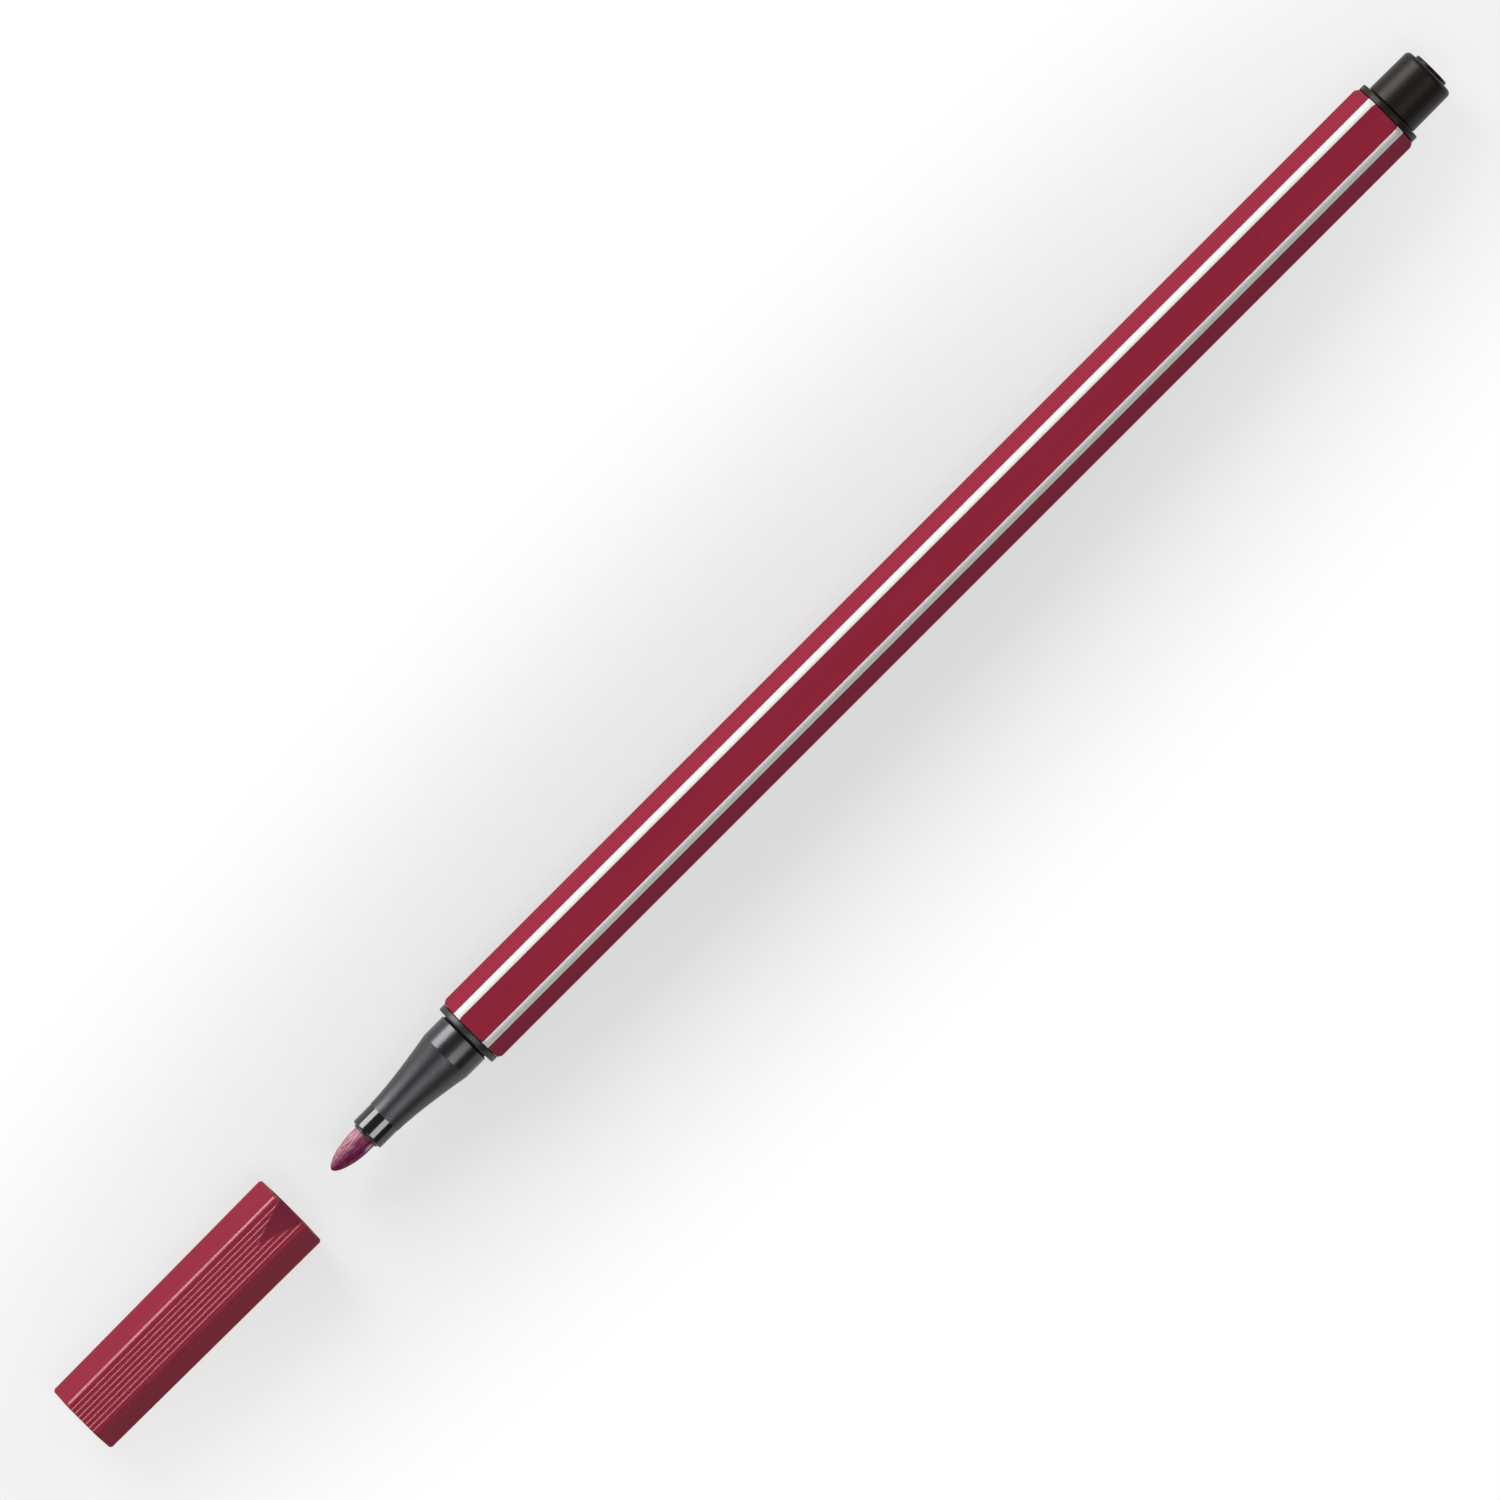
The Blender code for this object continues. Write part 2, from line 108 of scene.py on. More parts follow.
# Nib
NIB_RADIUS = 1.325
NIB_TAPER = 4.17
NIB_SHOULDER = 2.45
NIB_BLUNTNESS = 0.54
NIB_TAIL_CHAMFER = 0.3
STRAND_RELIEF = 0.022
STRANDS_ALONG = 1.1
STRANDS_ROUND = 17
STRAND_RING_STEP = 0.2
STRAND_RINGS = 5
STRAND_SHARE = 0.6
PALE_SPOT = (-56.0, -1.08, 0.77)
PALE_SPOT_SHORTENING = 0.5
PALE_SPOT_CORE = 0.1
PALE_SPOT_EDGE = 0.36
PALE_SPOT_STRENGTH = 0.9
# Painted light on the nib: where and how strongly its +Y side is painted paler, as lit sheen
LIT_SIDE_FROM = -0.12
LIT_SIDE_TO = 0.9
LIT_SIDE_STRENGTH = 0.9

# Rear plug
POST_RADIUS = 3.075
POST_END_RADIUS = 3.025
POST_EDGE = 0.5
POST_END_WALL = 1.5
POST_UNDERCUT = 0.12
PLUG_BORE = 1.85
BOSS_RADIUS = 2.0
BOSS_HEIGHT = 0.45
BOSS_EDGE = 0.14
BOSS_DOME = 0.08

# Cap shell
CAP_END_FLAT = 3.625
CAP_MOUTH_FLAT = 3.82
CAP_ROUNDING = 0.62
CAP_BORE = 3.05
CAP_LEAD = 0.15
CAP_END_WALL = 1.2
CAP_FLOOR_CHAMFER = 0.3
CAP_EDGE = 0.07
CAP_CHAMFER = 0.35
VENT_RADIUS = 1.0
VENT_EDGE = 0.1
GROOVE_COUNT = 7
GROOVE_PITCH = 0.5
GROOVE_WIDTH = 0.28
GROOVE_DEPTH = 0.11
GROOVE_BOTTOM = 0.12
GROOVE_END_WALL = 0.4
ARROWHEAD_LENGTH = 4.8
ARROWHEAD_HALF_BASE = 1.65
# How much the arrowhead's painted shade fades from the mouth to its tip
ARROWHEAD_SHADE_FADE = 0.55
GROOVED_FACES = (0, 3)
POLISHED_CORNERS = (0, 3)

# Wear from handling, which on the corner crests is also a painted highlight
END_WEAR = 0.25
RIM_WEAR = 0.5
CORNER_ANGLE = radians(5)
CREST_ANGLE = radians(2.4)

# Facets
SIDES = 128
NIB_SIDES = 256
ARC_STEP = radians(9)
CORNER_STEPS = 10
CURVE_STEPS = 28
FACE_STEPS = 8
BARREL_STEPS = 24
EDGE_DEPTHS = (0, 0.01, 0.03, 0.06, 0.1, 0.15, 0.22, 0.3, 0.4, 0.5)
EDGE_MARGIN = 0.05
CAP_EDGE_REACH = 0.2
ARROWHEAD_FIRST_RING = 0.7
ARROWHEAD_RING_STEP = 0.09
ARROWHEAD_RINGS = 50
CAP_PLAIN_START = 6.0
CAP_PLAIN_END = 1.0
CAP_PLAIN_STEPS = 12
GROOVE_SHARES = (-0.6, -0.5, -0.42, -0.25, -0.08, 0, 0.08, 0.25, 0.42, 0.5, 0.6)
SHARP_ANGLE = radians(40)

# Colours
MAROON_DARK = (0.268, 0.0175, 0.041)
MAROON_LIGHT = (0.292, 0.0195, 0.046)
# Painted shade on the cap's plain arrowhead
ARROWHEAD_SHADE_DARK = (0.15, 0.016, 0.033)
ARROWHEAD_SHADE_LIGHT = (0.165, 0.018, 0.036)
# Lighter colours of worn places: wear, and on the corner crests also a painted highlight
BARREL_WORN_AND_HIGHLIGHT = (0.31, 0.03, 0.06)
CAP_WORN_AND_HIGHLIGHT = (0.38, 0.046, 0.072)
WHITE_DARK = (0.795, 0.79, 0.785)
WHITE_LIGHT = (0.825, 0.82, 0.815)
BLACK_DARK = (0.0075, 0.007, 0.007)
BLACK_LIGHT = (0.011, 0.0105, 0.0105)
PLUG_DARK = (0.0075, 0.006, 0.005)
PLUG_LIGHT = (0.011, 0.009, 0.0075)
# Painted shade: a darker black in the undercuts and the gaps by the flanges
RECESS_SHADE_DARK = (0.003, 0.003, 0.003)
RECESS_SHADE_LIGHT = (0.005, 0.005, 0.005)
COOL_REFLECTION = (0.92, 0.93, 1.0)
WARM_REFLECTION = (1.0, 0.9, 0.87)
DEEP_INK = ((0.035, 0.002, 0.024), (0.142, 0.006, 0.056), (0.36, 0.036, 0.135))
# Painted light: the nib's paler colours for its lit side
LIT_SIDE_INK = ((0.2, 0.05, 0.1), (0.48, 0.2, 0.26), (0.8, 0.5, 0.53))
CORE_INK = ((0.12, 0.006, 0.03), (0.2, 0.012, 0.045), (0.3, 0.05, 0.09))
BARE_FIBRE = (0.68, 0.42, 0.5)
LINER_DARK = (0.66, 0.65, 0.62)
LINER_LIGHT = (0.72, 0.71, 0.68)
FILM_DARK = (0.68, 0.68, 0.7)
FILM_LIGHT = (0.78, 0.78, 0.78)
TABLE_DARK = (0.59, 0.59, 0.59)
TABLE_LIGHT = (0.61, 0.61, 0.61)

# Grains to a millimetre along X, Y and Z
FLOW_GRAIN = (0.06, 0.5, 0.5)
STREAK_GRAIN = (0.02, 5, 5)
WORN_GRAIN = (0.25, 1.5, 1.5)
STRAND_GRAIN = (0.9, 8, 8)
FILM_GRAIN = (0.05, 2.0, 2.0)
TABLE_GRAIN = (0.4, 0.4, 0.4)

# Levels of the noise between which a colour or a sheen changes
NOISE_LOW = 0.35
NOISE_HIGH = 0.65
WIDE_LOW = 0.3
WIDE_HIGH = 0.7
STREAK_LOW = 0.4
STREAK_HIGH = 0.7
INK_DARK_AT = 0.32
INK_MIDDLE_AT = 0.5
INK_BRIGHT_AT = 0.68

# Surfaces
PLASTIC_IOR = 1.5
FIBRE_IOR = 1.45
FILM_IOR = 1.45
FLOW_RELIEF = 2
MAROON_ROUGHNESS = 0.38
STREAK_BRIGHTNESS = 1.1
STREAK_STRENGTH = 0.8
STREAK_RELIEF = 0.0025
WORN_LEAST = 0.6
WORN_SMOOTHING = -0.1
FIBRE_DULL = 0.6
FIBRE_GLOSSY = 0.34
FILM_SMOOTH = 0.15
FILM_DULL = 0.3

# Table and lamps, in metres
TABLE_RADIUS = 6.0
TABLE_SEGMENTS = 96
TABLE_DROP = 0.00005
LAMP_DISTANCE = 1.0

# White of the table and the world
TABLE_STRETCH = (0.2, 1.0, 0.0)
SHADOW_REACH = 7.0
WHITE_FROM = 36.0
NEAR_LIFT = 0.6
WORLD_FILL = 0.1
HORIZON_HEIGHT = 0.12

# Camera
VIEW_TARGET = (-0.94, 0.1)
VIEW_DISTANCE = 2600.0
VIEW_LEAN = radians(0.4)
VIEW_FRAME = 150.0


def skin(name, rings, materials, zone_of, loop):
    """A mesh over a row of rings. A ring of one point is a pole, and a loop joins the last to the first."""
    starts = []
    points = []
    for ring in rings:
        starts.append(len(points))
        points += [(x * MM, y * MM, (z + AXIS_HEIGHT) * MM) for x, y, z in ring]
    faces = []
    zones = []
    for i in range(len(rings) if loop else len(rings) - 1):
        j = (i + 1) % len(rings)
        count = max(len(rings[i]), len(rings[j]))
        for step in range(count):
            after = (step + 1) % count
            corners = [
                starts[i] + step % len(rings[i]),
                starts[j] + step % len(rings[j]),
                starts[j] + after % len(rings[j]),
                starts[i] + after % len(rings[i]),
            ]
            faces.append(list(dict.fromkeys(corners)))
            zones.append(zone_of(i, step))
    mesh = bpy.data.meshes.new(name)
    mesh.from_pydata(points, [], faces)
    mesh.polygons.foreach_set("material_index", zones)
    for material in materials:
        mesh.materials.append(material)
    face_outwards(mesh)
    mesh.shade_smooth()
    mesh.set_sharp_from_angle(angle=SHARP_ANGLE)
    piece = bpy.data.objects.new(name, mesh)
    bpy.context.scene.collection.objects.link(piece)
    piece.modifiers.new("flat faces stay flat", "WEIGHTED_NORMAL").keep_sharp = True
    return piece


def face_outwards(mesh):
    bm = bmesh.new()
    bm.from_mesh(mesh)
    bmesh.ops.recalc_face_normals(bm, faces=bm.faces)
    bm.to_mesh(mesh)
    bm.free()


def mark_points(piece, name, values):
    """Store a number on each point of a piece, for its material."""
    piece.data.attributes.new(name, "FLOAT", "POINT").data.foreach_set("value", values)


def stand_for(piece, cad_node, body):
    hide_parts(cad_node)
    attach(piece, body)


def fillet(before, corner, after, radius):
    """Points of an arc that rounds a corner of an outline."""
    corner = Vector(corner)
    to_before = (Vector(before) - corner).normalized()
    to_after = (Vector(after) - corner).normalized()
    half = to_before.angle(to_after) / 2
    centre = corner + (to_before + to_after).normalized() * radius / sin(half)
    first = corner + to_before * radius / tan(half) - centre
    last = corner + to_after * radius / tan(half) - centre
    steps = max(2, ceil((pi - 2 * half) / ARC_STEP))
    return [tuple(centre + first.slerp(last, i / steps) * radius) for i in range(steps + 1)]


def rounded(corners):
    """An outline from (x, radius, rounding, zone) corners. A zone is the material after its corner."""
    outline = []
    for i, (x, radius, rounding, zone) in enumerate(corners):
        points = [(x, radius)]
        if rounding:
            before = corners[i - 1][:2]
            after = corners[(i + 1) % len(corners)][:2]
            points = fillet(before, (x, radius), after, rounding)
        outline += [(*point, zone) for point in points]
    return outline


def curve(first, first_handle, last_handle, last):
    """Points of a cubic curve from first to last, both included."""
    corners = (first, first_handle, last_handle, last)
    points = []
    for i in range(CURVE_STEPS + 1):
        t = i / CURVE_STEPS
        weights = ((1 - t) ** 3, 3 * (1 - t) ** 2 * t, 3 * (1 - t) * t**2, t**3)
        points.append(tuple(sum(w * c[axis] for w, c in zip(weights, corners)) for axis in (0, 1)))
    return points


def circle(x, radius, sides):
    angles = [2 * pi * i / sides for i in range(sides)]
    return [(x, radius * sin(angle), radius * cos(angle)) for angle in angles]


def turned(name, outline, materials, loop):
    """A turned piece from (x, radius, zone) points."""
    rings = [circle(x, radius, SIDES) if radius else [(x, 0, 0)] for x, radius, zone in outline]
    return skin(name, rings, materials, lambda ring, step: outline[ring][2], loop)


def make_nose_section(satin, textured, polished, seat, recess):
    """Turned nose. Zones: 0 satin, 1 textured cone, 2 polished collar, 3 seat, 4 recess, painted darker as
    shade.
    """
    flange_rear = BARREL_FRONT - FACE_GAP
    flange_front = flange_rear - FLANGE_THICKNESS
    cone_rear = flange_front - SEAT_LENGTH
    cone_front = cone_rear - CONE_LENGTH
    collar_front = cone_front - COLLAR_LENGTH
    cone_radius = SEAT_RADIUS - SEAT_STEP
    undercut_radius = SEAT_RADIUS - UNDERCUT_DEPTH
    cone = curve(
        (cone_front, NECK_RADIUS),
        (cone_front + CONE_NECK_BLEND, NECK_RADIUS),
        (cone_rear, cone_radius),
        (cone_rear, cone_radius),
    )
    corners = [
        (LIP_FRONT, NIB_BORE, INNER_EDGE, 0),
        (LIP_FRONT, LIP_RADIUS, OUTER_EDGE, 0),
        (collar_front, LIP_RADIUS, 0, 2),
        (collar_front, COLLAR_RADIUS, COLLAR_EDGE, 2),
        (collar_front + 2 * COLLAR_EDGE, COLLAR_RADIUS, 0, 2),
        (cone_front, COLLAR_RADIUS, 0, 0),
    ]
    corners += [(x, radius, 0, 1) for x, radius in cone[:-1]]
    corners += [
        (cone_rear, cone_radius, 0, 3),
        (cone_rear + SEAT_STEP, SEAT_RADIUS, 0, 3),
        (flange_front - SEAT_UNDERCUT, SEAT_RADIUS, OUTER_EDGE, 4),
        (flange_front - SEAT_UNDERCUT, undercut_radius, INNER_EDGE, 4),
        (flange_front, undercut_radius, INNER_EDGE, 4),
        (flange_front, FLANGE_RADIUS, FLANGE_EDGE, 0),
        (flange_rear, FLANGE_RADIUS, FLANGE_BACK_EDGE, 4),
        (flange_rear, SPIGOT_RADIUS, 0, 0),
        (NOSE_REAR - SPIGOT_LEAD, SPIGOT_RADIUS, 0, 0),
        (NOSE_REAR, SPIGOT_RADIUS - SPIGOT_LEAD, 0, 0),
        (NOSE_REAR, NIB_BORE, 0, 0),
    ]
    nose = turned("nose", rounded(corners), [satin, textured, polished, seat, recess], loop=True)
    stand_for(nose, "nose_section", "pen")


def make_plug(satin, recess):
    """Turned rear plug with a hollow spigot. Zones: 0 satin, 1 recess, painted darker as shade."""
    flange_front = BARREL_REAR + FACE_GAP
    flange_rear = flange_front + FLANGE_THICKNESS
    post_rear = BOSS_REAR - BOSS_HEIGHT
    bore_floor = post_rear - POST_END_WALL
    undercut_radius = POST_RADIUS - UNDERCUT_DEPTH
    corners = [
        (BOSS_REAR, 0, 0, 0),
        (BOSS_REAR - BOSS_DOME, BOSS_RADIUS, BOSS_EDGE, 0),
        (post_rear, BOSS_RADIUS, OUTER_EDGE, 0),
        (post_rear, POST_END_RADIUS, POST_EDGE, 0),
        (flange_rear + POST_UNDERCUT, POST_RADIUS, OUTER_EDGE, 1),
        (flange_rear + POST_UNDERCUT, undercut_radius, INNER_EDGE, 1),
        (flange_rear, undercut_radius, INNER_EDGE, 1),
        (flange_rear, FLANGE_RADIUS, FLANGE_EDGE, 0),
        (flange_front, FLANGE_RADIUS, FLANGE_BACK_EDGE, 1),
        (flange_front, SPIGOT_RADIUS, 0, 0),
        (PLUG_FRONT + SPIGOT_LEAD, SPIGOT_RADIUS, 0, 0),
        (PLUG_FRONT, SPIGOT_RADIUS - SPIGOT_LEAD, 0, 0),
        (PLUG_FRONT, PLUG_BORE, 0, 0),
        (bore_floor, PLUG_BORE, 0, 0),
        (bore_floor, 0, 0, 0),
    ]
    plug = turned("plug", rounded(corners), [satin, recess], loop=False)
    stand_for(plug, "rear_plug", "pen")


def strand_ring(x, radius):
    """A ring of the nib, raised and lowered into strands that stay within its radius."""
    ring = []
    for _, y, z in circle(x, 1, NIB_SIDES):
        strand = noise.noise(Vector((x * STRANDS_ALONG, y * STRANDS_ROUND, z * STRANDS_ROUND)))
        raised = radius - STRAND_RELIEF * min(1, radius) * (STRAND_SHARE + STRAND_SHARE * strand)
        ring.append((x, y * raised, z * raised))
    return ring


def make_nib(fibre):
    """Fibre rod with a rounded tip, its side raised into fine strands that run along it."""
    shoulder = NIB_TIP + NIB_TAPER
    outline = curve(
        (NIB_TIP, 0),
        (NIB_TIP, NIB_BLUNTNESS),
        (shoulder - NIB_SHOULDER, NIB_RADIUS),
        (shoulder, NIB_RADIUS),
    )
    outline += [(shoulder + STRAND_RING_STEP * i, NIB_RADIUS) for i in range(1, STRAND_RINGS + 1)]
    rings = [[(NIB_TIP, 0, 0)]]
    rings += [strand_ring(x, radius) for x, radius in outline[1:]]
    rings.append(circle(NIB_REAR - NIB_TAIL_CHAMFER, NIB_RADIUS - STRAND_RELIEF, NIB_SIDES))
    rings.append(circle(NIB_REAR, NIB_RADIUS - NIB_TAIL_CHAMFER, NIB_SIDES))
    rings.append([(NIB_REAR, 0, 0)])
    nib = skin("nib_strands", rings, [fibre], lambda ring, step: 0, loop=False)
    stand_for(nib, "nib", "pen")


def hexagon(flat, rounding, offsets_of):
    """A hexagon's section as (face, across, y, z) points. across is None on the rounded corners."""
    half = (flat - rounding) * tan(pi / 6)
    points = []
    for face in range(6):
        angle = face * pi / 3
        for across in offsets_of(face, half):
            y = flat * sin(angle) + across * cos(angle)
            z = flat * cos(angle) - across * sin(angle)
            points.append((face, across, y, z))
        middle = angle + pi / 6
        centre = (flat - rounding) / cos(pi / 6)
        for i in range(1, CORNER_STEPS):
            turn = angle + pi / 3 * i / CORNER_STEPS
            y = centre * sin(middle) + rounding * sin(turn)
            z = centre * cos(middle) + rounding * cos(turn)
            points.append((face, None, y, z))
    return points


def drawn_in(y, z, limit, inset):
    """A point moved towards the axis: by inset, and then to no more than limit away from it."""
    away = Vector((y, z)).length
    share = min(away - inset, limit) / away
    return y * share, z * share


def quarter_round(depth, size):
    """How far a rounded edge of this size draws in at a depth below its end."""
    if depth >= size:
        return 0
    return size - (size**2 - (size - depth) ** 2) ** 0.5


def from_crest(y, z):
    """Angle round the axis between a point and the crest of its nearest corner."""
    return abs(atan2(y, z) % (pi / 3) - pi / 6)


def wear(across, y, z, depth):
    """How far a place is painted lighter and made smoother, from 0 to 1: most on the crests and round the
    ends. It is wear, and on the crests also a painted highlight.
    """
    rim = RIM_WEAR * max(0, 1 - depth / END_WEAR)
    if across is not None:
        return rim
    return max(rim, 1 - from_crest(y, z) / CORNER_ANGLE)


def end_stations(chamfer):
    """Depths below an end at which a section is repeated to shape its edge and chamfer."""
    return [*EDGE_DEPTHS, chamfer, chamfer + EDGE_MARGIN]


def evenly(first, last, steps):
    """Evenly spaced numbers from first to last, both included."""
    return [first + (last - first) * i / steps for i in range(steps + 1)]


def stripe_reach(face, side):
    """How far a stripe runs on to a face from its corner at this side, which is -1 or 1."""
    if face in FRONT_AND_BACK:
        return STRIPE_ON_FRONT
    striped_side = -1 if face in STRIPED_AT_START else 1
    return STRIPE_ON_SIDE if side == striped_side else 0


def barrel_offsets(face, half):
    first = stripe_reach(face, -1)
    last = stripe_reach(face, 1)
    middle = evenly(-half + first, half - last, FACE_STEPS)
    return ([-half] if first else []) + middle + ([half] if last else [])


def is_striped(section, step):
    face, across, _, _ = section[step]
    later = section[(step + 1) % len(section)][1]
    if across is None or later is None:
        return face in STRIPED_CORNERS
    half = (BARREL_FLAT - BARREL_ROUNDING) * tan(pi / 6)
    middle = (across + later) / 2
    return middle < -half + stripe_reach(face, -1) or middle > half - stripe_reach(face, 1)


def make_barrel(plastic, white):
    """Six-sided tube with a white stripe along four of its corners. Zones: 0 plastic, 1 stripe."""
    section = hexagon(BARREL_FLAT, BARREL_ROUNDING, barrel_offsets)
    depths = end_stations(BARREL_CHAMFER)
    length = BARREL_REAR - BARREL_FRONT
    spread = evenly(0, length, BARREL_STEPS)[1:-1]
    stations = depths + spread + [length - depth for depth in reversed(depths)]
    rings = []
    worn = []
    for station in stations:
        depth = min(station, length - station)
        worn += [wear(across, y, z, depth) for _, across, y, z in section]
        limit = BARREL_END_RADIUS + BARREL_CHAMFER_RISE * min(1, depth / BARREL_CHAMFER)
        inset = quarter_round(depth, BARREL_EDGE)
        ring = [drawn_in(y, z, limit, inset) for _, _, y, z in section]
        rings.append([(BARREL_FRONT + station, y, z) for y, z in ring])
    angles = [atan2(y, z) for _, _, y, z in section]
    for x in (BARREL_REAR, BARREL_FRONT):
        rings.append([(x, BARREL_BORE * sin(angle), BARREL_BORE * cos(angle)) for angle in angles])
    outer = len(stations) - 1
    zones = [int(is_striped(section, step)) for step in range(len(section))]
    barrel = skin(
        "striped_barrel",
        rings,
        [plastic, white],
        lambda ring, step: zones[step] if ring < outer else 0,
        loop=True,
    )
    mark_points(barrel, "worn", worn + [0] * 2 * len(section))
    stand_for(barrel, "barrel", "pen")


def groove_offsets():
    """Places across a grooved face that follow every groove's sides and rounded edges."""
    middles = [(i - (GROOVE_COUNT - 1) / 2) * GROOVE_PITCH for i in range(GROOVE_COUNT)]
    return [middle + share * GROOVE_WIDTH for middle in middles for share in GROOVE_SHARES]


def cap_offsets(face, half):
    if face in GROOVED_FACES:
        return [-half] + groove_offsets() + [half]
    return evenly(-half, half, FACE_STEPS)


def plainness(across, from_mouth):
    """How far a place on a grooved face belongs to the plain arrowhead, from 0 to 1."""
    edge = ARROWHEAD_LENGTH * (1 - abs(across) / ARROWHEAD_HALF_BASE)
    share = (edge - from_mouth) / GROOVE_END_WALL + 0.5
    share = max(0, min(1, share))
    return share * share * (3 - 2 * share)


def painted_arrowhead_shade(from_mouth):
    """How much painted shade the arrowhead takes: most at the mouth, and less towards its tip."""
    return 1 - ARROWHEAD_SHADE_FADE * min(1, from_mouth / ARROWHEAD_LENGTH)


def groove_depth(across, from_mouth):
    groove = round(across / GROOVE_PITCH)
    if abs(groove) > GROOVE_COUNT // 2:
        return 0
    share = abs(across - groove * GROOVE_PITCH) / (GROOVE_WIDTH / 2)
    slope = 1 - (share * share + GROOVE_BOTTOM * GROOVE_BOTTOM) ** 0.5
    return GROOVE_DEPTH * max(0, slope) * (1 - plainness(across, from_mouth))


def cap_section(from_mouth, length):
    """The cap's hexagon at a distance from its mouth, and how far its flats are from the axis."""
    share = from_mouth / length
    flat = CAP_MOUTH_FLAT + (CAP_END_FLAT - CAP_MOUTH_FLAT) * share
    return hexagon(flat, CAP_ROUNDING, cap_offsets), flat


def cap_ring(from_mouth, length):
    """The cap's outer outline at a distance from its mouth."""
    section, flat = cap_section(from_mouth, length)
    depth = min(from_mouth, length - from_mouth)
    corner = flat / cos(pi / 6)
    limit = (flat + corner) / 2 + (corner - flat) / 2 * min(1, depth / CAP_CHAMFER)
    inset = quarter_round(depth, CAP_EDGE)
    ring = []
    for face, across, y, z in section:
        if across is not None and face in GROOVED_FACES:
            z -= groove_depth(across, from_mouth) * (1 if face == 0 else -1)
        ring.append((CAP_MOUTH - from_mouth, *drawn_in(y, z, limit, inset)))
    return ring


def cap_zone(section, step, from_mouth):
    """The material of the strip after a point of the cap's section."""
    face, across, y, z = section[step]
    if across is None:
        return 1 if face in POLISHED_CORNERS and from_crest(y, z) < CREST_ANGLE else 0
    later = section[(step + 1) % len(section)][1]
    if later is None or face not in GROOVED_FACES:
        return 0
    return 2 if groove_depth((across + later) / 2, from_mouth) > 0 else 0


def cap_stations(length):
    """Distances from the mouth at which the cap's section is repeated, starting at the closed end."""
    depths = end_stations(CAP_CHAMFER + CAP_EDGE_REACH)
    arrowhead = [ARROWHEAD_FIRST_RING + ARROWHEAD_RING_STEP * i for i in range(ARROWHEAD_RINGS)]
    spread = evenly(CAP_PLAIN_START, length - CAP_PLAIN_END, CAP_PLAIN_STEPS)
    stations = depths + arrowhead + spread + [length - depth for depth in reversed(depths)]
    return stations[::-1]


def make_cap(plastic, crest, groove):
    """Six-sided cup, grooved up to a plain arrowhead. Zones: 0 plastic, 1 crests, 2 grooves painted lighter
    as painted light.
    """
    length = CAP_MOUTH - CAP_END
    stations = cap_stations(length)
    rings = [cap_ring(station, length) for station in stations]
    angles = [atan2(y, z) for _, y, z in rings[0]]
    floor = CAP_END + CAP_END_WALL
    bore = [
        (CAP_MOUTH, CAP_BORE + CAP_LEAD),
        (CAP_MOUTH - CAP_LEAD, CAP_BORE),
        (floor + CAP_FLOOR_CHAMFER, CAP_BORE),
        (floor, CAP_BORE - CAP_FLOOR_CHAMFER),
        (floor, VENT_RADIUS),
        (CAP_END + VENT_EDGE, VENT_RADIUS),
        (CAP_END, VENT_RADIUS + VENT_EDGE),
    ]
    for x, radius in bore:
        rings.append([(x, radius * sin(angle), radius * cos(angle)) for angle in angles])
    section = cap_section(0, length)[0]
    outer = len(stations) - 1
    cap = skin(
        "grooved_cap",
        rings,
        [plastic, crest, groove],
        lambda ring, step: cap_zone(section, step, stations[ring]) if ring < outer else 0,
        loop=True,
    )
    mark_cap(cap, stations, length)
    stand_for(cap, "cap_shell", "cap")


def mark_cap(cap, stations, length):
    """Mark the plain arrowheads with their painted shade, and the worn edges, which on the crests are also
    a painted highlight. The bore's points come last and stay unmarked.
    """
    plain = []
    worn = []
    for station in stations:
        depth = min(station, length - station)
        for face, across, y, z in cap_section(station, length)[0]:
            on_face = across is not None and face in GROOVED_FACES
            on_arrowhead = on_face and abs(across) < ARROWHEAD_HALF_BASE
            plain.append(plainness(across, station) * painted_arrowhead_shade(station) if on_arrowhead else 0)
            worn.append(wear(across, y, z, depth))
    unmarked = [0] * (len(cap.data.vertices) - len(plain))
    mark_points(cap, "plain", plain + unmarked)
    mark_points(cap, "worn", worn + unmarked)


def node(tree, kind, **values):
    """A shader node with its properties and input values set. Inputs are named with _ for a space."""
    made = tree.nodes.new(kind)
    for name, value in values.items():
        if name in made.bl_rna.properties:
            setattr(made, name, value)
        else:
            made.inputs[name.replace("_", " ")].default_value = value
    return made


def stretched_position(tree, scale):
    """Position on the piece in millimetres, scaled along each axis."""
    place = node(tree, "ShaderNodeTexCoord")
    mapping = node(tree, "ShaderNodeMapping", Scale=[s / MM for s in scale])
    tree.links.new(place.outputs["Object"], mapping.inputs["Vector"])
    return mapping.outputs["Vector"]


def speckle(tree, grain, detail=2.0):
    """Noise with this many grains to a millimetre along X, Y and Z."""
    grains = node(tree, "ShaderNodeTexNoise", Scale=1.0, Detail=detail, Roughness=0.6)
    tree.links.new(stretched_position(tree, grain), grains.inputs["Vector"])
    return grains.outputs["Fac"]


def ramp(tree, source, low, high, dark, light):
    """A colour between dark and light as the source goes from low to high."""
    made = node(tree, "ShaderNodeValToRGB")
    first, last = made.color_ramp.elements
    first.position = low
    first.color = (*dark, 1)
    last.position = high
    last.color = (*light, 1)
    tree.links.new(source, made.inputs["Fac"])
    return made.outputs["Color"]


def spread_between(tree, source, low, high, first, last, interpolation="LINEAR"):
    """A value that goes from first to last as the source goes from low to high."""
    made = node(tree, "ShaderNodeMapRange", interpolation_type=interpolation)
    for name, value in (("From Min", low), ("From Max", high), ("To Min", first), ("To Max", last)):
        made.inputs[name].default_value = value
    tree.links.new(source, made.inputs["Value"])
    return made.outputs["Result"]


